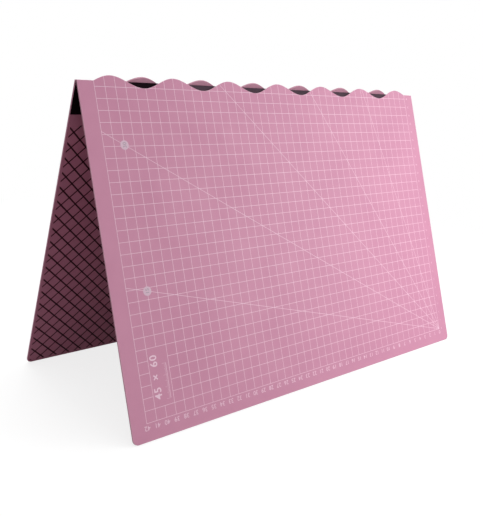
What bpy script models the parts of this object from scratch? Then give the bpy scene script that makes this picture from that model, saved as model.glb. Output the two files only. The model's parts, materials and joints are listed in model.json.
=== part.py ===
"""Folding self-healing cutting mat, standing as a tent on the ends of its two halves.

Two laminated vinyl halves are cut apart along a wavy line and joined by a strip of tape on
their reverse. Each half is built in its own flat frame, which an empty on the fold axis
then turns into place: x runs along the fold, y from the fold down to the foot of the half,
and z out of the printed face.
"""

import math

import bmesh
import bpy

# Outline of one half, in metres
FOLD_WIDTH = 0.450
HALF_LENGTH = 0.300
FOOT_CORNER_RADIUS = 0.005
FOOT_CORNER_STEPS = 6

# Wavy cut between the halves
WAVE_SWING = 0.005
WAVE_MARGIN = 0.015
HALF_WAVES = 13
STEPS_PER_HALF_WAVE = 10
CUT_WIDTH = 0.0003

# Laminate, from the reverse to the printed face
REVERSE_SHEET_THICKNESS = 0.00025
LOWER_PLY_THICKNESS = 0.00025
CORE_THICKNESS = 0.00030
UPPER_PLY_THICKNESS = 0.00025
PRINT_SHEET_THICKNESS = 0.00025
BOND_GAP = 0.00005

# Hinge tape on the reverse
TAPE_LEG_LENGTH = 0.030
TAPE_THICKNESS = 0.00020
TAPE_END_SETBACK = 0.0005
CREASE_GAP = 0.0003
CLOSED_GAP = 0.0003

# Opening angle between the halves of the standing tent
TENT_ANGLE = math.radians(38.4)

# Where each layer starts, measured out from the fold axis
TAPE_BASE = CLOSED_GAP / 2
REVERSE_SHEET_BASE = TAPE_BASE + TAPE_THICKNESS + BOND_GAP
LOWER_PLY_BASE = REVERSE_SHEET_BASE + REVERSE_SHEET_THICKNESS + BOND_GAP
CORE_BASE = LOWER_PLY_BASE + LOWER_PLY_THICKNESS + BOND_GAP
UPPER_PLY_BASE = CORE_BASE + CORE_THICKNESS + BOND_GAP
PRINT_SHEET_BASE = UPPER_PLY_BASE + UPPER_PLY_THICKNESS + BOND_GAP

# The tent rests on the reverse edges of both feet
LEAN = TENT_ANGLE / 2
FOLD_HEIGHT = HALF_LENGTH * math.cos(LEAN) - REVERSE_SHEET_BASE * math.sin(LEAN)


def clear_scene():
    """Remove whatever the scene holds, so that only the mat is left."""
    for obj in list(bpy.data.objects):
        bpy.data.objects.remove(obj, do_unlink=True)


def vinyl(name, colour, roughness):
    """Plain plastic material of one sub-part."""
    material = bpy.data.materials.new(name)
    material.use_nodes = True
    shader = material.node_tree.nodes["Principled BSDF"]
    shader.inputs["Base Color"].default_value = (*colour, 1.0)
    shader.inputs["Roughness"].default_value = roughness
    shader.inputs["Metallic"].default_value = 0.0
    material.diffuse_color = (*colour, 1.0)
    return material


def wave(x):
    """Height of the wavy cut over the fold line at x, nought along the straight end margins."""
    waved_width = FOLD_WIDTH - 2 * WAVE_MARGIN
    along = x + waved_width / 2
    if not 0.0 < along < waved_width:
        return 0.0
    return WAVE_SWING * math.sin(HALF_WAVES * math.pi * along / waved_width)


def fold_edge(side):
    """Points of a half's wavy edge from low to high x. side is 1 where the first crest is the half's own."""
    waved_width = FOLD_WIDTH - 2 * WAVE_MARGIN
    steps = HALF_WAVES * STEPS_PER_HALF_WAVE
    xs = [-FOLD_WIDTH / 2]
    xs += [waved_width * (step / steps - 0.5) for step in range(steps + 1)]
    xs.append(FOLD_WIDTH / 2)
    return [(x, CUT_WIDTH / 2 - side * wave(x)) for x in xs]


def foot_corner(centre_x, start_angle):
    """Arc round one foot corner, a quarter turn from start_angle."""
    centre_y = HALF_LENGTH - FOOT_CORNER_RADIUS
    points = []
    for step in range(FOOT_CORNER_STEPS + 1):
        angle = start_angle + math.pi / 2 * step / FOOT_CORNER_STEPS
        x = centre_x + FOOT_CORNER_RADIUS * math.cos(angle)
        y = centre_y + FOOT_CORNER_RADIUS * math.sin(angle)
        points.append((x, y))
    return points


def half_outline(side):
    """Closed outline of one half: wavy edge, then down one side, along the foot and up again."""
    corner_x = FOLD_WIDTH / 2 - FOOT_CORNER_RADIUS
    return fold_edge(side) + foot_corner(corner_x, 0.0) + foot_corner(-corner_x, math.pi / 2)


def tape_outline():
    """Closed outline of the tape leg that is bonded to one half."""
    reach = FOLD_WIDTH / 2 - TAPE_END_SETBACK
    top = CREASE_GAP / 2
    return [(-reach, top), (reach, top), (reach, TAPE_LEG_LENGTH), (-reach, TAPE_LEG_LENGTH)]


def layer(name, frame, outline, base, thickness, material):
    """One flat piece: the outline raised from base by its thickness, hung on its half's frame."""
    bm = bmesh.new()
    face = bm.faces.new([bm.verts.new((x, y, base)) for x, y in outline])
    raised = bmesh.ops.extrude_face_region(bm, geom=[face])
    moved = [item for item in raised["geom"] if isinstance(item, bmesh.types.BMVert)]
    bmesh.ops.translate(bm, verts=moved, vec=(0.0, 0.0, thickness))
    bmesh.ops.recalc_face_normals(bm, faces=bm.faces)
    mesh = bpy.data.meshes.new(name)
    bm.to_mesh(mesh)
    bm.free()
    mesh.materials.append(material)
    piece = bpy.data.objects.new(name, mesh)
    piece.parent = frame
    bpy.context.collection.objects.link(piece)
    return piece


def half_frame(name, heading):
    """Empty on the fold axis which turns a flat half into its leaning place."""
    frame = bpy.data.objects.new(name, None)
    frame.empty_display_size = 0.05
    frame.location = (0.0, 0.0, FOLD_HEIGHT)
    frame.rotation_euler = (LEAN - math.pi / 2, 0.0, heading)
    bpy.context.collection.objects.link(frame)
    return frame


def print_sheet(half, frame, side):
    """Self-healing face sheet which carries the printed ruling."""
    material = vinyl(half + "_print_vinyl", (0.60, 0.27, 0.39), 0.50)
    name = half + "_print_sheet"
    return layer(name, frame, half_outline(side), PRINT_SHEET_BASE, PRINT_SHEET_THICKNESS, material)


def upper_ply(half, frame, side):
    """Soft ply under the face sheet, which closes behind the blade."""
    material = vinyl(half + "_upper_ply_vinyl", (0.55, 0.25, 0.36), 0.60)
    name = half + "_upper_ply"
    return layer(name, frame, half_outline(side), UPPER_PLY_BASE, UPPER_PLY_THICKNESS, material)


def core(half, frame, side):
    """Hard centre ply, which keeps the half flat and stops the blade."""
    material = vinyl(half + "_core_vinyl", (0.66, 0.36, 0.46), 0.45)
    name = half + "_core"
    return layer(name, frame, half_outline(side), CORE_BASE, CORE_THICKNESS, material)


def lower_ply(half, frame, side):
    """Soft ply between the core and the reverse sheet."""
    material = vinyl(half + "_lower_ply_vinyl", (0.55, 0.25, 0.36), 0.60)
    name = half + "_lower_ply"
    return layer(name, frame, half_outline(side), LOWER_PLY_BASE, LOWER_PLY_THICKNESS, material)


def reverse_sheet(half, frame, side):
    """Face sheet of the reverse, whose foot edge the tent stands on."""
    material = vinyl(half + "_reverse_vinyl", (0.60, 0.24, 0.36), 0.55)
    name = half + "_reverse_sheet"
    outline = half_outline(side)
    return layer(name, frame, outline, REVERSE_SHEET_BASE, REVERSE_SHEET_THICKNESS, material)


def tape_leg(half, frame):
    """This half's share of the hinge tape, from the crease down its reverse."""
    material = vinyl(half + "_tape_film", (0.012, 0.009, 0.011), 0.40)
    name = half + "_tape_leg"
    return layer(name, frame, tape_outline(), TAPE_BASE, TAPE_THICKNESS, material)


def mat_half(half, heading, side):
    """All layers of one half on its own frame."""
    frame = half_frame(half + "_half_frame", heading)
    print_sheet(half, frame, side)
    upper_ply(half, frame, side)
    core(half, frame, side)
    lower_ply(half, frame, side)
    reverse_sheet(half, frame, side)
    tape_leg(half, frame)


def build():
    """The whole mat: the front half faces -Y, the rear half +Y."""
    clear_scene()
    mat_half("front", math.pi, 1)
    mat_half("rear", 0.0, -1)
    bpy.context.view_layer.update()


build()
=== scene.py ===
"""Looks of the folding cutting mat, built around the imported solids.

Each half is dressed in its own flat frame: x runs along the fold, y from the fold down to the
foot, and z out of the printed face. What is printed is laid out on the flat open mat instead:
a runs right from the left line of the ruling, m runs from the ruling's line at the front foot
towards the rear foot.
"""

import json
import math

import bmesh
import bpy
from mathutils import Matrix, Quaternion, Vector


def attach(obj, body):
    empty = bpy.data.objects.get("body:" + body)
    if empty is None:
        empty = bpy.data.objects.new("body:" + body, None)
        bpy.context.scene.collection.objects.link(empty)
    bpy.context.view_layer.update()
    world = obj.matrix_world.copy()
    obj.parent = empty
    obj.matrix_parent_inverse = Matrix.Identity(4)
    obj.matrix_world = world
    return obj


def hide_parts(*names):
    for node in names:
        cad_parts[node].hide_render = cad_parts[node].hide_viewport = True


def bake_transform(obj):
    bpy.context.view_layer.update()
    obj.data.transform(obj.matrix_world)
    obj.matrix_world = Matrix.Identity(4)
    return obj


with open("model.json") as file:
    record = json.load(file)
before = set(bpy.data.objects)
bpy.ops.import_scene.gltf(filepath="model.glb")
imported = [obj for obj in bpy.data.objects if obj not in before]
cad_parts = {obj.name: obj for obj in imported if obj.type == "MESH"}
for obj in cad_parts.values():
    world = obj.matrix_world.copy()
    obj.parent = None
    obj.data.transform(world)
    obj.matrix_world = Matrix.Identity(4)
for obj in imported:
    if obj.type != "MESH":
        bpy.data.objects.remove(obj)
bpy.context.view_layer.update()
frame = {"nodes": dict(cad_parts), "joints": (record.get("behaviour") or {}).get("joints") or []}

MM = 0.001
CM = 0.01

# Points closer than this are welded, and edges that turn by more than this angle stay sharp
WELD_DISTANCE = 0.001 * MM
SHARP_ANGLE = math.radians(25)

# Fold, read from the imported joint, which closes by twice the lean of a half
FOLD = frame["joints"][0]
FOLD_PLACE = Vector(FOLD["pos_m"])
LEAN = math.radians(-FOLD["range_deg"][0]) / 2

# Outline of one half
FOLD_WIDTH = 450 * MM
HALF_LENGTH = 300 * MM
FOOT_CORNER_RADIUS = 5 * MM
FOOT_CORNER_STEPS = 12

# Wavy cut between the halves
WAVE_SWING = 5 * MM
WAVE_MARGIN = 15 * MM
HALF_WAVES = 13
STEPS_PER_HALF_WAVE = 24
CUT_WIDTH = 0.3 * MM

# Cut rims of the plies: rounding of their edges, where its middle lies, and how far wear reaches in
FACE_ROUNDING = 0.12 * MM
PLY_ROUNDING = 0.04 * MM
ROUNDING_MIDDLE = 0.3
RIM_REACH = 0.6 * MM

# How far the cut rim of each ply stands back from the outline
PLY_SETBACKS = {"print_sheet": 0.0, "upper_ply": 0.04 * MM, "core": 0.01 * MM,
                "lower_ply": 0.05 * MM, "reverse_sheet": 0.0}

# Hinge tape
TAPE_LEG_LENGTH = 30 * MM
TAPE_END_SETBACK = 0.5 * MM
TAPE_ARC_STEPS = 10
TAPE_CREASE_REACH = 1.5 * MM

# Painted sheen on the tape, a grey that stands in for its reflection: where it starts and is full along
# the fold, and its wavering band at the crease
SHEEN_STARTS = -148 * MM
SHEEN_FULL = -108 * MM
SHEEN_TOP = 4 * MM
SHEEN_FULL_DEPTH = 6 * MM
SHEEN_REACH = 13 * MM
SHEEN_DRIFT = 8 * MM

# Ruling of the flat open mat
COLUMNS = 42
ROWS = 57
RULED_WIDTH = COLUMNS * CM
RULED_LENGTH = ROWS * CM
FOLD_ROW = RULED_LENGTH / 2
LINE_WIDTH = 0.36 * MM
STEPS_PER_SQUARE = 6
PRINT_SETBACK = 0.2 * MM

# Heights of the inks over the sheet, and how far their undersides sink into it
INK_SINK = 0.01 * MM
RULING_INK = 0.030 * MM
ANGLE_INK = 0.036 * MM
DISC_INK = 0.045 * MM
DISC_NUMBER_INK = 0.055 * MM

# Angle lines, which fan out from the ruling's corner at the right of the front foot
ANGLES = (15, 30, 45, 60, 75)
CUT_HALVINGS = 40

# Round fields with the angles, set in from the far ends of the lines
DISC_RADIUS = 4.0 * MM
DISC_INSET = 20 * MM
DISC_STEPS = 40
DISC_NUMBER_HEIGHT = 3.4 * MM

# Numbers along the feet and down the right margin
FOOT_NUMBER_HEIGHT = 4.0 * MM
FOOT_NUMBER_DROP = 4.1 * MM
SIDE_NUMBER_HEIGHT = 1.7 * MM
SIDE_NUMBER_OFFSET = 4.8 * MM
GLYPH_ADVANCE = 1.18

# Box without ruling, which holds the size in centimetres and a short scale
BOX_COLUMNS = (1 * CM, 3 * CM)
BOX_ROWS = (1 * CM, 6 * CM)
SIZE_TEXT = "45 × 60"
SIZE_HEIGHT = 7.2 * MM
SIZE_PLACE = (15.0 * MM, 35 * MM)
BOLD_OFFSET = 0.014
SCALE_COLUMN = 27.0 * MM
SCALE_ROWS = (15 * MM, 45 * MM)
SCALE_LINE = 0.3 * MM
TICK_WIDTH = 0.18 * MM
TICK_LENGTHS = {"one": 1.6 * MM, "five": 2.6 * MM, "ten": 3.8 * MM}

# Crosshatch of the reverse: its field, where each family starts on the left side, and its lines
HATCH_PITCH = 10 * MM
HATCH_MARGIN = 2.5 * MM
HATCH_TOP = 40 * MM
BOLD_START = 41.9 * MM
FINE_START = 50.5 * MM
BOLD_WIDTH = 1.45 * MM
FINE_WIDTH = 1.15 * MM
HATCH_INK = 0.025 * MM

# Colours, in linear light
PRINT_PINK = (0.598, 0.256, 0.380)
PRINT_PINK_DEEP = (0.558, 0.229, 0.351)
PRINT_PINK_WORN = (0.690, 0.390, 0.490)
# The reverse is the same vinyl as the face. Its pinks are set deeper and redder than the face's: partly
# painted shade, the darkness and the pink thrown-back light of the tent's inside.
REVERSE_PINK = (0.560, 0.197, 0.300)
REVERSE_PINK_DEEP = (0.512, 0.172, 0.268)
REVERSE_PINK_WORN = (0.640, 0.300, 0.410)
# Darker, greyer tone for the reverse's tips past the fold
REVERSE_PINK_PAST_FOLD = (0.420, 0.185, 0.265)
PLY_PINK = (0.600, 0.280, 0.390)
PLY_PINK_DEEP = (0.520, 0.225, 0.330)
CORE_PINK = (0.640, 0.340, 0.440)
LIGHT_INK = (0.860, 0.610, 0.730)
LIGHT_INK_WORN = (0.770, 0.480, 0.600)
DISC_TINT = (0.680, 0.480, 0.585)
DISC_TINT_WORN = (0.630, 0.410, 0.515)
GREY_INK = (0.330, 0.260, 0.310)
GREY_INK_WORN = (0.420, 0.330, 0.390)
BLACK_INK = (0.040, 0.006, 0.013)
BLACK_INK_WORN = (0.060, 0.012, 0.022)
# The tape's blacks have a purple tint: painted pink light, thrown back onto the tape by the vinyl.
TAPE_BLACK = (0.006, 0.002, 0.004)
TAPE_BLACK_SCUFFED = (0.013, 0.005, 0.009)
# Grey painted in for the tape's sheen: painted reflection, tinted purple by painted pink thrown-back
# light
TAPE_SHEEN_GREY = (0.080, 0.052, 0.069)

# Camera
CAMERA_PLACE = (-0.5072, -0.5279, 0.2993)
CAMERA_TARGET = (-0.0323, 0.0, 0.1101)
CAMERA_ROLL = math.radians(3.93)
CAMERA_LENS = 48.94

# Floor: its size, and the ring over which it runs out to plain white
FLOOR_RADIUS = 4.0
FLOOR_STEPS = 96
FLOOR_DROP = 0.1 * MM
WHITE_STARTS = 0.45
WHITE_FULL = 0.90

# Tones of the floor: as it throws light back, as the camera sees it and as a reflection shows it
FLOOR_TONE = 0.42
SEEN_GLOW = 0.80
SEEN_TONE = 0.26
MIRRORED_GLOW = 0.20
MIRRORED_TONE = 0.95

# Light all round the mat, and the white that is seen behind it
AMBIENT_STRENGTH = 0.48
WHITE_STRENGTH = 1.0

# Lamps: name, place, point that they face, width and watts
SOFTBOXES = (
    ("key_softbox", (0.62, -0.50, 0.62), (0.12, -0.03, 0.18), 0.45, 1.8),
    ("near_softbox", (0.28, -0.38, 0.25), (0.12, 0.00, 0.13), 0.30, 0.7),
    ("low_softbox", (0.25, -0.80, 0.12), (0.00, 0.00, 0.10), 0.45, 1.0),
    ("top_softbox", (0.00, 0.00, 1.60), (0.00, 0.00, 0.15), 0.90, 6.3),
    ("back_softbox", (0.20, 1.10, 0.90), (0.00, 0.00, 0.15), 0.90, 7.2),
)


def wave(x):
    """Swing of the wavy cut at x, nought along the straight end margins."""
    waved_width = FOLD_WIDTH - 2 * WAVE_MARGIN
    along = x + waved_width / 2
    if not 0.0 < along < waved_width:
        return 0.0
    return WAVE_SWING * math.sin(HALF_WAVES * math.pi * along / waved_width)


class Half:
    """One half of the mat: its body, its place, and how the flat mat's print lies on it.

    side is 1 where the first crest of the wave is the half's own, and -1 on the other half.
    """

    def __init__(self, name, heading, side):
        self.name = name
        self.body = name + "_half"
        self.side = side
        turned = Matrix.Rotation(heading, 4, "Z")
        leaning = Matrix.Rotation(LEAN - math.pi / 2, 4, "X")
        self.matrix = Matrix.Translation(FOLD_PLACE) @ turned @ leaning
        self.printed = turned @ Matrix.Translation((-RULED_WIDTH / 2, -FOLD_ROW, 0))

    def cut(self, x):
        """Where this half's wavy edge lies at x."""
        return CUT_WIDTH / 2 - self.side * wave(x)

    def levels(self, part):
        """Lowest and highest level of one of the half's solids over the fold axis."""
        to_half = self.matrix.inverted()
        solid = frame["nodes"][self.name + "_" + part]
        heights = [(to_half @ vertex.co).z for vertex in solid.data.vertices]
        return min(heights), max(heights)

    def place(self, piece, slot_part=None):
        """Put a piece made in the half's frame in its place and let it ride with the half."""
        piece.matrix_world = self.matrix
        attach(piece, self.body)
        if slot_part:
            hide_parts(self.name + "_" + slot_part)


FRONT = Half("front", math.pi, 1)
REAR = Half("rear", 0.0, -1)


class Finish:
    """Node tree of one material, with short calls for the nodes that the finishes share."""

    def __init__(self, name):
        self.material = bpy.data.materials.new(name)
        self.material.use_nodes = True
        self.nodes = self.material.node_tree.nodes
        self.links = self.material.node_tree.links
        self.shader = self.nodes["Principled BSDF"]
        self.coordinates = self.nodes.new("ShaderNodeTexCoord").outputs["Object"]

    def feed(self, socket, value):
        """Set a socket to a plain value, or link it to another node's output."""
        if isinstance(value, bpy.types.NodeSocket):
            self.links.new(value, socket)
        elif isinstance(value, tuple):
            socket.default_value = (*value, 1.0) if len(socket.default_value) == 4 else value
        else:
            socket.default_value = value

    def mapped(self, turn=0.0, stretch=(1.0, 1.0, 1.0)):
        """The object's coordinates, turned about the normal and stretched."""
        node = self.nodes.new("ShaderNodeMapping")
        self.links.new(self.coordinates, node.inputs["Vector"])
        node.inputs["Rotation"].default_value = (0.0, 0.0, turn)
        node.inputs["Scale"].default_value = stretch
        return node.outputs["Vector"]

    def along(self, axis):
        """The object's coordinate along one axis."""
        node = self.nodes.new("ShaderNodeSeparateXYZ")
        self.links.new(self.coordinates, node.inputs[0])
        return node.outputs[axis]

    def noise(self, per_metre, detail=2.0, vector=None):
        """Fractal noise with so many lumps to the metre."""
        node = self.nodes.new("ShaderNodeTexNoise")
        self.links.new(vector or self.coordinates, node.inputs["Vector"])
        node.inputs["Scale"].default_value = per_metre
        node.inputs["Detail"].default_value = detail
        return node.outputs["Fac"]

    def remap(self, value, low, high, to_low=0.0, to_high=1.0):
        """Value from low to high spread over another range and held there."""
        node = self.nodes.new("ShaderNodeMapRange")
        self.links.new(value, node.inputs["Value"])
        node.inputs["From Min"].default_value = low
        node.inputs["From Max"].default_value = high
        node.inputs["To Min"].default_value = to_low
        node.inputs["To Max"].default_value = to_high
        return node.outputs["Result"]

    def math(self, operation, first, second=0.0):
        """One arithmetic step. A step that takes a single number leaves the second unused."""
        node = self.nodes.new("ShaderNodeMath")
        node.operation = operation
        self.feed(node.inputs[0], first)
        self.feed(node.inputs[1], second)
        return node.outputs[0]

    def mix(self, share, first, second):
        """Colour which runs from first to second as share goes from nought to one."""
        node = self.nodes.new("ShaderNodeMix")
        node.data_type = "RGBA"
        self.feed(node.inputs[0], share)
        self.feed(node.inputs[6], first)
        self.feed(node.inputs[7], second)
        return node.outputs[2]

    def attribute(self, name):
        """A number kept on the mesh's points."""
        node = self.nodes.new("ShaderNodeAttribute")
        node.attribute_name = name
        return node.outputs["Fac"]

    def bump(self, height, depth, under=None):
        """Relief which is depth metres high, laid over another relief if one is given."""
        node = self.nodes.new("ShaderNodeBump")
        node.inputs["Distance"].default_value = depth
        self.links.new(height, node.inputs["Height"])
        if under:
            self.links.new(under, node.inputs["Normal"])
        return node.outputs["Normal"]

    def scars(self, turn, spacing, width, patch, share):
        """Straight hairline knife marks in one direction, broken up into short stretches.

        turn is their direction and patch the size of a stretch. share sets how much of them shows.
        """
        most_drift = 6 * spacing
        sharp_end = 0.02
        across = self.nodes.new("ShaderNodeSeparateXYZ")
        self.links.new(self.mapped(turn), across.inputs[0])
        wander = self.noise(0.6 / patch, 0.0, self.mapped(turn, (0.12, 1.0, 1.0)))
        lane = self.math("ADD", across.outputs["Y"], self.math("MULTIPLY", wander, most_drift))
        phase = self.math("FRACT", self.math("DIVIDE", lane, spacing))
        off_centre = self.math("ABSOLUTE", self.math("SUBTRACT", phase, 0.5))
        line = self.remap(off_centre, 0.0, width / spacing, 1.0, 0.0)
        stretches = self.noise(1 / patch, 1.0, self.mapped(turn, (1.0, 4.0, 1.0)))
        shown = self.remap(stretches, 1 - share, 1 - share + sharp_end)
        return self.math("MULTIPLY", line, shown)

    def finish(self, colour, roughness, normal, specular=0.5):
        """Feed the shader. specular is how strong its clear reflection is."""
        self.shader.inputs["Specular IOR Level"].default_value = specular
        self.feed(self.shader.inputs["Base Color"], colour)
        self.feed(self.shader.inputs["Roughness"], roughness)
        self.feed(self.shader.inputs["Normal"], normal)
        return self.material


def sheet_vinyl(name, tone, deep_tone, worn_tone, scar_share, specular, past_fold_tone=None):
    """Matt self-healing face vinyl: pebbled, faintly clouded and worn pale at its cut rims.

    scar_share sets how much of its closed knife marks shows. Given a tone for the tips of the wavy edge
    past the fold, those tips are made darker and greyer with it, in uneven patches.
    """
    scar_paleness = 0.18
    rim_smoothness = 0.10
    fold_blur = 0.5 * MM
    finish = Finish(name)
    clouds = finish.remap(finish.noise(16, 4.0), 0.35, 0.68)
    colour = finish.mix(clouds, deep_tone, tone)
    flecks = finish.remap(finish.noise(900, 2.0), 0.30, 0.70, 0.0, 0.30)
    colour = finish.mix(flecks, colour, deep_tone)
    along = finish.scars(math.radians(2.0), 13 * MM, 0.10 * MM, 45 * MM, scar_share)
    slanted = finish.scars(math.radians(63.0), 19 * MM, 0.09 * MM, 38 * MM, scar_share)
    scars = finish.math("MAXIMUM", along, slanted)
    colour = finish.mix(finish.math("MULTIPLY", scars, scar_paleness), colour, worn_tone)
    # Tips of the wavy edge past the fold, made darker and greyer in uneven patches.
    if past_fold_tone:
        past_fold = finish.remap(finish.along("Y"), fold_blur, -fold_blur)
        tip_unevenness = finish.remap(finish.noise(150, 3.0), 0.30, 0.60, 0.80, 1.0)
        colour = finish.mix(finish.math("MULTIPLY", past_fold, tip_unevenness), colour, past_fold_tone)
    rubbed = finish.remap(finish.noise(240, 3.0), 0.30, 0.65, 0.35, 1.0)
    rim = finish.math("MULTIPLY", finish.attribute("rim"), rubbed)
    colour = finish.mix(rim, colour, worn_tone)
    swell = finish.noise(28, 2.0)
    pebbles = finish.noise(1700, 1.5)
    grooves = finish.math("MULTIPLY", scars, -1.0)
    relief = finish.bump(swell, 0.20 * MM)
    relief = finish.bump(pebbles, 0.035 * MM, relief)
    relief = finish.bump(grooves, 0.02 * MM, relief)
    patches = finish.remap(finish.noise(55, 3.0), 0.30, 0.70, 0.50, 0.60)
    roughness = finish.math("SUBTRACT", patches, finish.math("MULTIPLY", rim, rim_smoothness))
    return finish.finish(colour, roughness, relief, specular)


def cut_vinyl(name, tone, deep_tone):
    """Inner ply, of which only the knife-cut edge shows: fine drag lines across its thickness."""
    finish = Finish(name)
    drag = finish.noise(2600, 3.0, finish.mapped(stretch=(1.0, 1.0, 0.08)))
    colour = finish.mix(finish.remap(drag, 0.30, 0.72), deep_tone, tone)
    smears = finish.noise(420, 2.0)
    colour = finish.mix(finish.remap(smears, 0.52, 0.75, 0.0, 0.4), colour, deep_tone)
    roughness = finish.remap(drag, 0.25, 0.75, 0.48, 0.68)
    return finish.finish(colour, roughness, finish.bump(drag, 0.03 * MM))


def screen_ink(name, tone, worn_tone, wear, roughness, specular):
    """Screen-printed ink: a thin satin film, thinner in specks where the sheet's pebbles show through.

    wear is how far its thin places go over to the worn tone, and roughness wavers about its value.
    """
    finish = Finish(name)
    specks = finish.remap(finish.noise(1500, 3.0), 0.56, 0.72, 0.0, wear)
    rubbed = finish.remap(finish.noise(75, 3.0), 0.45, 0.75, 0.0, wear)
    colour = finish.mix(finish.math("MAXIMUM", specks, rubbed), tone, worn_tone)
    satin = finish.remap(finish.noise(600, 2.0), 0.30, 0.70, roughness - 0.06, roughness + 0.08)
    relief = finish.bump(finish.noise(1700, 1.5), 0.02 * MM)
    return finish.finish(colour, satin, relief, specular)


def tape_film():
    """Black hinge tape: ribbed lengthwise, with a painted sheen along the crease, a grey that stands in
    for its reflection, left out at its left end, which lies in shade.
    """
    finish = Finish("tape_film")
    ribs = finish.noise(1400, 3.0, finish.mapped(stretch=(0.03, 1.0, 1.0)))
    scuffs = finish.noise(130, 4.0, finish.mapped(stretch=(0.5, 1.0, 1.0)))
    worn = finish.remap(scuffs, 0.50, 0.72, 0.0, 0.7)
    colour = finish.mix(worn, TAPE_BLACK, TAPE_BLACK_SCUFFED)
    threads = finish.remap(ribs, 0.35, 0.70, 0.0, 0.35)
    colour = finish.mix(threads, colour, TAPE_BLACK_SCUFFED)
    # Painted sheen: a grey band along the crease that stands in for the tape's reflection, left out at
    # its left end, which lies in shade.
    drift = finish.math("MULTIPLY", finish.noise(90, 3.0), SHEEN_DRIFT)
    level = finish.math("ADD", finish.along("Z"), drift)
    top = FOLD_PLACE.z + SHEEN_TOP
    band = finish.remap(level, top - SHEEN_REACH, top - SHEEN_FULL_DEPTH)
    stretch = finish.remap(finish.along("X"), SHEEN_STARTS, SHEEN_FULL)
    patches = finish.remap(scuffs, 0.25, 0.60, 0.70, 1.0)
    painted_sheen = finish.math("MULTIPLY", finish.math("MULTIPLY", band, stretch), patches)
    colour = finish.mix(painted_sheen, colour, TAPE_SHEEN_GREY)
    wrinkles = finish.noise(60, 2.0, finish.mapped(stretch=(1.0, 0.4, 0.4)))
    relief = finish.bump(wrinkles, 0.12 * MM)
    relief = finish.bump(ribs, 0.03 * MM, relief)
    roughness = finish.remap(scuffs, 0.30, 0.75, 0.40, 0.56)
    # Clear reflection nearly off, since the sheen is painted into the colour.
    return finish.finish(colour, roughness, relief, specular=0.02)


def new_piece(name, bm, material):
    """Object made from a finished bmesh, smooth but for its real edges."""
    bmesh.ops.recalc_face_normals(bm, faces=bm.faces)
    mesh = bpy.data.meshes.new(name)
    bm.to_mesh(mesh)
    bm.free()
    mesh.materials.append(material)
    mesh.shade_smooth()
    mesh.set_sharp_from_angle(angle=SHARP_ANGLE)
    piece = bpy.data.objects.new(name, mesh)
    bpy.context.scene.collection.objects.link(piece)
    return piece


def half_outline(half, inset):
    """Closed outline of a half, drawn in by inset: wavy edge, one side, foot and the other side."""
    waved_width = FOLD_WIDTH - 2 * WAVE_MARGIN
    steps = HALF_WAVES * STEPS_PER_HALF_WAVE
    reach = FOLD_WIDTH / 2 - inset
    xs = [-reach] + [waved_width * (step / steps - 0.5) for step in range(steps + 1)] + [reach]
    points = [(x, half.cut(x) + inset) for x in xs]
    radius = FOOT_CORNER_RADIUS - inset
    centre_x = FOLD_WIDTH / 2 - FOOT_CORNER_RADIUS
    centre_y = HALF_LENGTH - FOOT_CORNER_RADIUS
    for side_x, start in ((centre_x, 0.0), (-centre_x, math.pi / 2)):
        for step in range(FOOT_CORNER_STEPS + 1):
            angle = start + math.pi / 2 * step / FOOT_CORNER_STEPS
            points.append((side_x + radius * math.cos(angle), centre_y + radius * math.sin(angle)))
    return points


def sheet(half, part, material, rounding_low, rounding_high):
    """One ply of a half, with rounded cut rims, in the place of its solid."""
    low, high = half.levels(part)
    setback = PLY_SETBACKS[part]
    middle_low = ROUNDING_MIDDLE * rounding_low
    middle_high = ROUNDING_MIDDLE * rounding_high
    profile = [
        (setback + RIM_REACH, low, 0.0),
        (setback + rounding_low, low, 1.0),
        (setback + middle_low, low + middle_low, 1.0),
        (setback, low + rounding_low, 1.0),
        (setback, high - rounding_high, 1.0),
        (setback + middle_high, high - middle_high, 1.0),
        (setback + rounding_high, high, 1.0),
        (setback + RIM_REACH, high, 0.0),
    ]
    bm = bmesh.new()
    rim = bm.verts.layers.float.new("rim")
    rings = []
    for inset, level, worn in profile:
        ring = [bm.verts.new((x, y, level)) for x, y in half_outline(half, inset)]
        for vertex in ring:
            vertex[rim] = worn
        rings.append(ring)
    for lower, upper in zip(rings, rings[1:]):
        for at in range(len(lower)):
            after = (at + 1) % len(lower)
            bm.faces.new((lower[at], lower[after], upper[after], upper[at]))
    bm.faces.new(reversed(rings[0]))
    bm.faces.new(rings[-1])
    half.place(new_piece(half.name + "_" + part + "_vinyl", bm, material), part)


def laminate(half):
    """All five plies of one half."""
    face = sheet_vinyl(
        half.name + "_face", PRINT_PINK, PRINT_PINK_DEEP, PRINT_PINK_WORN, scar_share=0.42, specular=0.45
    )
    # The reverse's deeper, redder pinks carry painted shade of the tent's inside.
    back = sheet_vinyl(
        half.name + "_back", REVERSE_PINK, REVERSE_PINK_DEEP, REVERSE_PINK_WORN,
        scar_share=0.30, specular=0.60, past_fold_tone=REVERSE_PINK_PAST_FOLD,
    )
    soft_ply = cut_vinyl(half.name + "_soft_ply", PLY_PINK, PLY_PINK_DEEP)
    hard_ply = cut_vinyl(half.name + "_hard_ply", CORE_PINK, PLY_PINK)
    sheet(half, "print_sheet", face, PLY_ROUNDING, FACE_ROUNDING)
    sheet(half, "upper_ply", soft_ply, PLY_ROUNDING, PLY_ROUNDING)
    sheet(half, "core", hard_ply, PLY_ROUNDING, PLY_ROUNDING)
    sheet(half, "lower_ply", soft_ply, PLY_ROUNDING, PLY_ROUNDING)
    sheet(half, "reverse_sheet", back, FACE_ROUNDING, PLY_ROUNDING)


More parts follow.
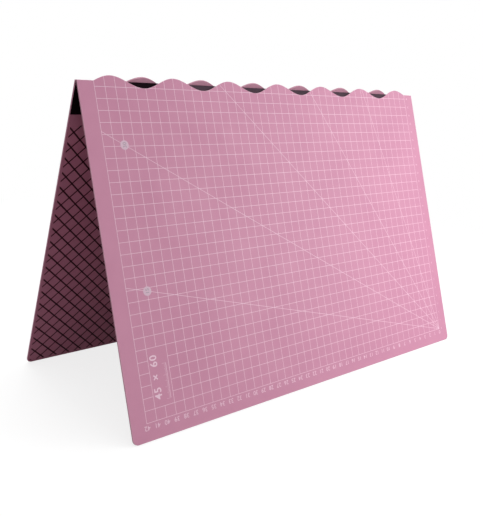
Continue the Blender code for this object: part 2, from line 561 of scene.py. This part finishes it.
def hinge_tape():
    """One strip of tape down the reverse of one half, round the fold and down the other."""
    low, high = FRONT.levels("tape_leg")

    def section(level):
        """Path of one face of the tape, from the front leg's end to the rear leg's end."""
        legs = (TAPE_LEG_LENGTH, TAPE_CREASE_REACH)
        path = [FRONT.matrix @ Vector((0, y, level)) for y in legs]
        for step in range(TAPE_ARC_STEPS + 1):
            angle = math.pi - LEAN - (math.pi - 2 * LEAN) * step / TAPE_ARC_STEPS
            path.append(FOLD_PLACE + level * Vector((0, math.cos(angle), math.sin(angle))))
        return path + [REAR.matrix @ Vector((0, y, level)) for y in reversed(legs)]

    loop = section(high) + section(low)[::-1]
    reach = FOLD_WIDTH / 2 - TAPE_END_SETBACK
    bm = bmesh.new()
    ends = [[bm.verts.new((x, point.y, point.z)) for point in loop] for x in (-reach, reach)]
    count = len(loop)
    for at in range(count):
        after = (at + 1) % count
        bm.faces.new((ends[0][at], ends[0][after], ends[1][after], ends[1][at]))
    for end in ends:
        for at in range(count // 2 - 1):
            bm.faces.new((end[at], end[at + 1], end[count - 2 - at], end[count - 1 - at]))
    tape = new_piece("hinge_tape", bm, tape_film())
    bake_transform(tape)
    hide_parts("front_tape_leg", "rear_tape_leg")


def raise_ink(bm, base, height, out=1):
    """Thicken flat ink shapes into films that stand height over base and sink a little into it.

    out is -1 for films that stand out of the reverse.
    """
    for vertex in bm.verts:
        vertex.co.z = base - out * INK_SINK
    raised = bmesh.ops.extrude_face_region(bm, geom=list(bm.faces))
    outer = [item for item in raised["geom"] if isinstance(item, bmesh.types.BMVert)]
    bmesh.ops.translate(bm, verts=outer, vec=(0, 0, out * (INK_SINK + height)))


def ink_cells(bm, xs, ys, keep):
    """Faces of the lattice cells for which keep(column, row) is true. Each y is a function of x."""
    points = [[bm.verts.new((x, y(x), 0)) for x in xs] for y in ys]
    for row in range(len(ys) - 1):
        for column in range(len(xs) - 1):
            if keep(column, row):
                bm.faces.new((points[row][column], points[row][column + 1],
                              points[row + 1][column + 1], points[row + 1][column]))


def ruling(half, ink):
    """Centimetre ruling of one half, cut off by the wavy edge and left out in the box."""
    lines = [CM * (column - COLUMNS / 2) for column in range(COLUMNS + 1)]
    rows = [CM * (row + 0.5) for row in range(ROWS // 2 + 1)]
    sides = [x + offset for x in lines for offset in (-LINE_WIDTH / 2, LINE_WIDTH / 2)]
    fine = []
    fine_inked = []
    for left, right in zip(sides, sides[1:]):
        inked = right - left < 2 * LINE_WIDTH
        steps = 1 if inked else STEPS_PER_SQUARE
        fine += [left + (right - left) * step / steps for step in range(steps)]
        fine_inked += [inked] * steps
    fine.append(sides[-1])

    def from_cut(y):
        """Level y, held back to the wavy edge where that reaches further down."""
        return lambda x: max(y, half.cut(x) + PRINT_SETBACK)

    def in_box(x, y):
        """Whether a point of the half lies in the box that the ruling leaves free."""
        spot = half.printed.inverted() @ Vector((x, y, 0))
        inside_columns = BOX_COLUMNS[0] + LINE_WIDTH < spot.x < BOX_COLUMNS[1] - LINE_WIDTH
        return inside_columns and BOX_ROWS[0] + LINE_WIDTH < spot.y < BOX_ROWS[1] - LINE_WIDTH

    levels = [y + offset for y in rows for offset in (-LINE_WIDTH / 2, LINE_WIDTH / 2)]

    def below(column, row):
        """Whether a cell below the first line is inked."""
        middle_x = (sides[column] + sides[column + 1]) / 2
        middle_y = (levels[row + 1] + levels[row + 2]) / 2
        return (column % 2 == 0 or row % 2 == 1) and not in_box(middle_x, middle_y)

    bm = bmesh.new()
    top = [from_cut(-WAVE_SWING), from_cut(levels[0]), from_cut(levels[1])]
    ink_cells(bm, fine, top, lambda column, row: row == 1 or fine_inked[column])
    ink_cells(bm, sides, [from_cut(y) for y in levels[1:]], below)
    bmesh.ops.remove_doubles(bm, verts=bm.verts, dist=WELD_DISTANCE)
    loose = [vertex for vertex in bm.verts if not vertex.link_faces]
    bmesh.ops.delete(bm, geom=loose, context="VERTS")
    raise_ink(bm, half.levels("print_sheet")[1], RULING_INK)
    half.place(new_piece(half.name + "_ruling", bm, ink))


def angle_point(angle, reach, offset=0.0):
    """Point of the flat mat at reach along an angle line and offset to its side."""
    turn = math.radians(angle)
    a = RULED_WIDTH - reach * math.cos(turn) + offset * math.sin(turn)
    m = reach * math.sin(turn) + offset * math.cos(turn)
    return Vector((a, m, 0))


def angle_reach(angle, inset):
    """How far an angle line runs before it is within inset of the ruling's far sides."""
    turn = math.radians(angle)
    return min((RULED_WIDTH - inset) / math.cos(turn), (RULED_LENGTH - inset) / math.sin(turn))


def angle_stretch(half, angle, offset):
    """Ends of one side of an angle line on this half, or nothing if the line doesn't reach it."""

    def on_half(reach):
        """Whether the line has vinyl of this half under it at reach."""
        spot = half.printed @ angle_point(angle, reach, offset)
        return spot.y > half.cut(spot.x) + PRINT_SETBACK

    ends = [0.0, angle_reach(angle, 0.0)]
    held = [on_half(reach) for reach in ends]
    if not any(held):
        return None
    if not all(held):
        inner, outer = ends if held[0] else ends[::-1]
        for _ in range(CUT_HALVINGS):
            middle = (inner + outer) / 2
            inner, outer = (middle, outer) if on_half(middle) else (inner, middle)
        ends[held.index(False)] = inner
    return [half.printed @ angle_point(angle, reach, offset) for reach in ends]


def angle_lines(half, ink):
    """The half's share of the five angle lines."""
    bm = bmesh.new()
    for angle in ANGLES:
        left = angle_stretch(half, angle, -LINE_WIDTH / 2)
        right = angle_stretch(half, angle, LINE_WIDTH / 2)
        if left and right:
            bm.faces.new([bm.verts.new(point) for point in (*left, *right[::-1])])
    raise_ink(bm, half.levels("print_sheet")[1], ANGLE_INK)
    half.place(new_piece(half.name + "_angle_lines", bm, ink))


def glyph_shapes(characters, boldness):
    """Flat faces of each character, centred across, and the width of a nought.

    A nought, which comes first in characters, is one unit high.
    """
    shapes = {}
    curve = bpy.data.curves.new("glyph", "FONT")
    curve.resolution_u = 3
    curve.offset = boldness
    sample = bpy.data.objects.new("glyph", curve)
    bpy.context.scene.collection.objects.link(sample)
    for character in characters:
        curve.body = character
        bpy.context.view_layer.update()
        evaluated = sample.evaluated_get(bpy.context.evaluated_depsgraph_get())
        mesh = bpy.data.meshes.new_from_object(evaluated)
        xs = [vertex.co.x for vertex in mesh.vertices]
        if not shapes:
            ys = [vertex.co.y for vertex in mesh.vertices]
            height = max(ys) - min(ys)
            width = (max(xs) - min(xs)) / height
        centred = Matrix.Translation((-(min(xs) + max(xs)) / 2, 0, 0))
        mesh.transform(Matrix.Scale(1 / height, 4) @ centred)
        shapes[character] = mesh
    bpy.data.objects.remove(sample)
    bpy.data.curves.remove(curve)
    return shapes, width


PLAIN_TYPE = glyph_shapes("0123456789", 0.0)
BOLD_TYPE = glyph_shapes("0123456789×", BOLD_OFFSET)


def write(bm, type_face, text, height, place, turn):
    """Add a text's flat faces to the print, centred at a place on the flat mat and turned on it."""
    shapes, width = type_face
    spacing = width * GLYPH_ADVANCE
    spot = Matrix.Translation((*place, 0)) @ Matrix.Rotation(turn, 4, "Z") @ Matrix.Scale(height, 4)
    for at, character in enumerate(text):
        if character == " ":
            continue
        shift = Vector(((at - (len(text) - 1) / 2) * spacing, -0.5, 0))
        glyph = shapes[character].copy()
        glyph.transform(spot @ Matrix.Translation(shift))
        bm.from_mesh(glyph)
        bpy.data.meshes.remove(glyph)


def printed_piece(half, name, bm, height, ink):
    """Lay what was drawn on the flat mat on its half, as a film of ink."""
    bmesh.ops.transform(bm, matrix=half.printed, verts=bm.verts)
    bmesh.ops.remove_doubles(bm, verts=bm.verts, dist=WELD_DISTANCE)
    raise_ink(bm, half.levels("print_sheet")[1], height)
    half.place(new_piece(half.name + "_" + name, bm, ink))


def edge_numbers(half, ink):
    """Numbers along the foot from the right and down the right margin from the front foot."""
    upside_down = math.pi
    front = half is FRONT
    bm = bmesh.new()
    foot_row = -FOOT_NUMBER_DROP if front else RULED_LENGTH + FOOT_NUMBER_DROP
    for number in range(COLUMNS + 1):
        place = (RULED_WIDTH - number * CM, foot_row)
        write(bm, PLAIN_TYPE, str(number), FOOT_NUMBER_HEIGHT, place, upside_down)
    middle = ROWS // 2 + 1
    for number in range(middle) if front else range(middle, ROWS + 1):
        place = (RULED_WIDTH + SIDE_NUMBER_OFFSET, number * CM)
        write(bm, PLAIN_TYPE, str(number), SIDE_NUMBER_HEIGHT, place, upside_down)
    printed_piece(half, "numbers", bm, RULING_INK, ink)


def angle_marks(half, disc_ink, number_ink):
    """Round fields on the angle lines near their far ends, each with its angle."""
    discs = bmesh.new()
    numbers = bmesh.new()
    for angle in ANGLES:
        centre = angle_point(angle, angle_reach(angle, DISC_INSET))
        if (half.printed @ centre).y < 0:
            continue
        turns = [2 * math.pi * step / DISC_STEPS for step in range(DISC_STEPS)]
        rim = [centre + DISC_RADIUS * Vector((math.cos(turn), math.sin(turn), 0)) for turn in turns]
        discs.faces.new([discs.verts.new(point) for point in rim])
        write(numbers, PLAIN_TYPE, str(angle), DISC_NUMBER_HEIGHT, (centre.x, centre.y), math.pi / 2)
    printed_piece(half, "angle_discs", discs, DISC_INK, disc_ink)
    printed_piece(half, "angle_numbers", numbers, DISC_NUMBER_INK, number_ink)


def bar(bm, low_a, high_a, low_m, high_m):
    """Upright rectangle of ink on the flat mat."""
    corners = ((low_a, low_m), (high_a, low_m), (high_a, high_m), (low_a, high_m))
    bm.faces.new([bm.verts.new((a, m, 0)) for a, m in corners])


def size_box(ink):
    """The mat's size in centimetres, read from the right side, and a short millimetre scale beside it."""
    bm = bmesh.new()
    write(bm, BOLD_TYPE, SIZE_TEXT, SIZE_HEIGHT, SIZE_PLACE, math.pi / 2)
    first, last = SCALE_ROWS
    bar(bm, SCALE_COLUMN, SCALE_COLUMN + SCALE_LINE, first, last)
    for tick in range(round((last - first) / MM) + 1):
        length = TICK_LENGTHS["ten" if tick % 10 == 0 else "five" if tick % 5 == 0 else "one"]
        m = first + tick * MM
        bar(bm, SCALE_COLUMN - length, SCALE_COLUMN, m - TICK_WIDTH / 2, m + TICK_WIDTH / 2)
    printed_piece(FRONT, "size_box", bm, RULING_INK, ink)


def hatch(half, family, slope, start, width, ink):
    """One family of diagonal lines on the reverse. slope is 1 where they fall away from the left side."""
    reach = FOLD_WIDTH / 2 - HATCH_MARGIN
    foot = HALF_LENGTH - HATCH_MARGIN
    step = HATCH_PITCH * math.sqrt(2)
    spread = width * math.sqrt(2) / 2
    count = math.ceil((2 * reach + foot) / step)

    def side_ends(crossing):
        """Ends within the field of one side of a line, which crosses the left side at crossing."""
        at_top = -reach + (HATCH_TOP - crossing) / slope
        at_foot = -reach + (foot - crossing) / slope
        low = max(-reach, min(at_top, at_foot))
        high = min(reach, max(at_top, at_foot))
        return [Vector((x, crossing + slope * (x + reach), 0)) for x in (low, high) if low < high]

    bm = bmesh.new()
    for number in range(-count, count + 1):
        crossing = start + number * step
        upper = side_ends(crossing - spread)
        lower = side_ends(crossing + spread)
        if upper and lower:
            bm.faces.new([bm.verts.new(point) for point in upper + lower[::-1]])
    raise_ink(bm, half.levels("reverse_sheet")[0], HATCH_INK, out=-1)
    half.place(new_piece(half.name + "_hatch_" + family, bm, ink))


def dress_half(half, inks):
    """All pieces of one half but the tape."""
    laminate(half)
    ruling(half, inks["light"])
    angle_lines(half, inks["light"])
    edge_numbers(half, inks["light"])
    angle_marks(half, inks["disc"], inks["grey"])
    hatch(half, "bold", 1, BOLD_START, BOLD_WIDTH, inks["black"])
    hatch(half, "fine", -1, FINE_START, FINE_WIDTH, inks["black"])


def seen_directly(nodes, links):
    """One where the camera, a reflection or a view through something looks at a surface."""
    path = nodes.new("ShaderNodeLightPath")
    total = None
    for ray in ("Is Camera Ray", "Is Glossy Ray", "Is Transmission Ray"):
        if total is None:
            total = path.outputs[ray]
            continue
        node = nodes.new("ShaderNodeMath")
        node.operation = "MAXIMUM"
        links.new(total, node.inputs[0])
        links.new(path.outputs[ray], node.inputs[1])
        total = node.outputs[0]
    return total


def lit_floor(nodes, links, glow, shade):
    """Shader of a floor that glows by itself and adds the light which falls on it."""
    glowing = nodes.new("ShaderNodeEmission")
    glowing.inputs["Strength"].default_value = glow
    shaded = nodes.new("ShaderNodeBsdfDiffuse")
    shaded.inputs["Color"].default_value = (shade, shade, shade, 1.0)
    both = nodes.new("ShaderNodeAddShader")
    links.new(glowing.outputs[0], both.inputs[0])
    links.new(shaded.outputs[0], both.inputs[1])
    return both.outputs[0]


def mixed_shader(nodes, links, share, first, second):
    """Shader which runs from first to second as share goes from nought to one."""
    node = nodes.new("ShaderNodeMixShader")
    links.new(share, node.inputs[0])
    links.new(first, node.inputs[1])
    links.new(second, node.inputs[2])
    return node.outputs[0]


def floor_finish():
    """Finish of the floor: pale with the mat's shadow near the mat, and plain white further out."""
    material = bpy.data.materials.new("floor")
    material.use_nodes = True
    nodes = material.node_tree.nodes
    links = material.node_tree.links
    nodes.clear()
    output = nodes.new("ShaderNodeOutputMaterial")
    path = nodes.new("ShaderNodeLightPath")
    pale = nodes.new("ShaderNodeBsdfDiffuse")
    pale.inputs["Color"].default_value = (FLOOR_TONE, FLOOR_TONE, FLOOR_TONE, 1.0)
    white = nodes.new("ShaderNodeEmission")
    place = nodes.new("ShaderNodeTexCoord")
    distance = nodes.new("ShaderNodeVectorMath")
    distance.operation = "LENGTH"
    links.new(place.outputs["Object"], distance.inputs[0])
    spread = nodes.new("ShaderNodeMapRange")
    spread.inputs["From Min"].default_value = WHITE_STARTS
    spread.inputs["From Max"].default_value = WHITE_FULL
    links.new(distance.outputs["Value"], spread.inputs["Value"])
    looked_at = lit_floor(nodes, links, SEEN_GLOW, SEEN_TONE)
    mirrored = lit_floor(nodes, links, MIRRORED_GLOW, MIRRORED_TONE)
    near = mixed_shader(nodes, links, path.outputs["Is Glossy Ray"], looked_at, mirrored)
    shown = mixed_shader(nodes, links, spread.outputs["Result"], near, white.outputs[0])
    final = mixed_shader(nodes, links, seen_directly(nodes, links), pale.outputs[0], shown)
    links.new(final, output.inputs["Surface"])
    return material


def floor():
    """Round floor just under the feet."""
    bm = bmesh.new()
    turns = [2 * math.pi * step / FLOOR_STEPS for step in range(FLOOR_STEPS)]
    rim = [(FLOOR_RADIUS * math.cos(turn), FLOOR_RADIUS * math.sin(turn), -FLOOR_DROP) for turn in turns]
    bm.faces.new([bm.verts.new(point) for point in rim])
    new_piece("floor", bm, floor_finish())


def studio_world():
    """Plain white behind the mat and an even soft light round it."""
    world = bpy.data.worlds.new("studio")
    bpy.context.scene.world = world
    world.use_nodes = True
    nodes = world.node_tree.nodes
    links = world.node_tree.links
    nodes.clear()
    output = nodes.new("ShaderNodeOutputWorld")
    ambient = nodes.new("ShaderNodeBackground")
    ambient.inputs["Strength"].default_value = AMBIENT_STRENGTH
    white = nodes.new("ShaderNodeBackground")
    white.inputs["Strength"].default_value = WHITE_STRENGTH
    for node in (ambient, white):
        node.inputs["Color"].default_value = (1.0, 1.0, 1.0, 1.0)
    mixed = mixed_shader(nodes, links, seen_directly(nodes, links), ambient.outputs[0], white.outputs[0])
    links.new(mixed, output.inputs["Surface"])


def softbox(name, place, target, width, watts):
    """Square area lamp aimed at a point."""
    lamp = bpy.data.lights.new(name, "AREA")
    lamp.size = width
    lamp.energy = watts
    holder = bpy.data.objects.new(name, lamp)
    holder.location = place
    holder.rotation_euler = (Vector(target) - Vector(place)).to_track_quat("-Z", "Y").to_euler()
    bpy.context.scene.collection.objects.link(holder)


def studio():
    """Floor, world and lamps: small lamps at the front right, large ones above and behind."""
    floor()
    studio_world()
    for name, place, target, width, watts in SOFTBOXES:
        softbox(name, place, target, width, watts)


def camera():
    """Camera at the photograph's viewing angle."""
    data = bpy.data.cameras.new("camera")
    data.lens = CAMERA_LENS
    eye = bpy.data.objects.new("camera", data)
    aim = Vector(CAMERA_TARGET) - Vector(CAMERA_PLACE)
    level = aim.to_track_quat("-Z", "Y")
    eye.location = CAMERA_PLACE
    eye.rotation_mode = "QUATERNION"
    eye.rotation_quaternion = level @ Quaternion((0, 0, 1), CAMERA_ROLL)
    bpy.context.scene.collection.objects.link(eye)
    bpy.context.scene.camera = eye


def dress():
    """The whole mat."""
    light = {"wear": 0.35, "roughness": 0.48, "specular": 0.45}
    grey = {"wear": 0.30, "roughness": 0.50, "specular": 0.40}
    black = {"wear": 0.40, "roughness": 0.58, "specular": 0.08}
    inks = {
        "light": screen_ink("light_ink", LIGHT_INK, LIGHT_INK_WORN, **light),
        "disc": screen_ink("disc_ink", DISC_TINT, DISC_TINT_WORN, **light),
        "grey": screen_ink("grey_ink", GREY_INK, GREY_INK_WORN, **grey),
        "black": screen_ink("black_ink", BLACK_INK, BLACK_INK_WORN, **black),
    }
    for half in (FRONT, REAR):
        dress_half(half, inks)
    size_box(inks["light"])
    hinge_tape()


camera()
dress()
studio()
bpy.context.scene.view_settings.view_transform = "Standard"
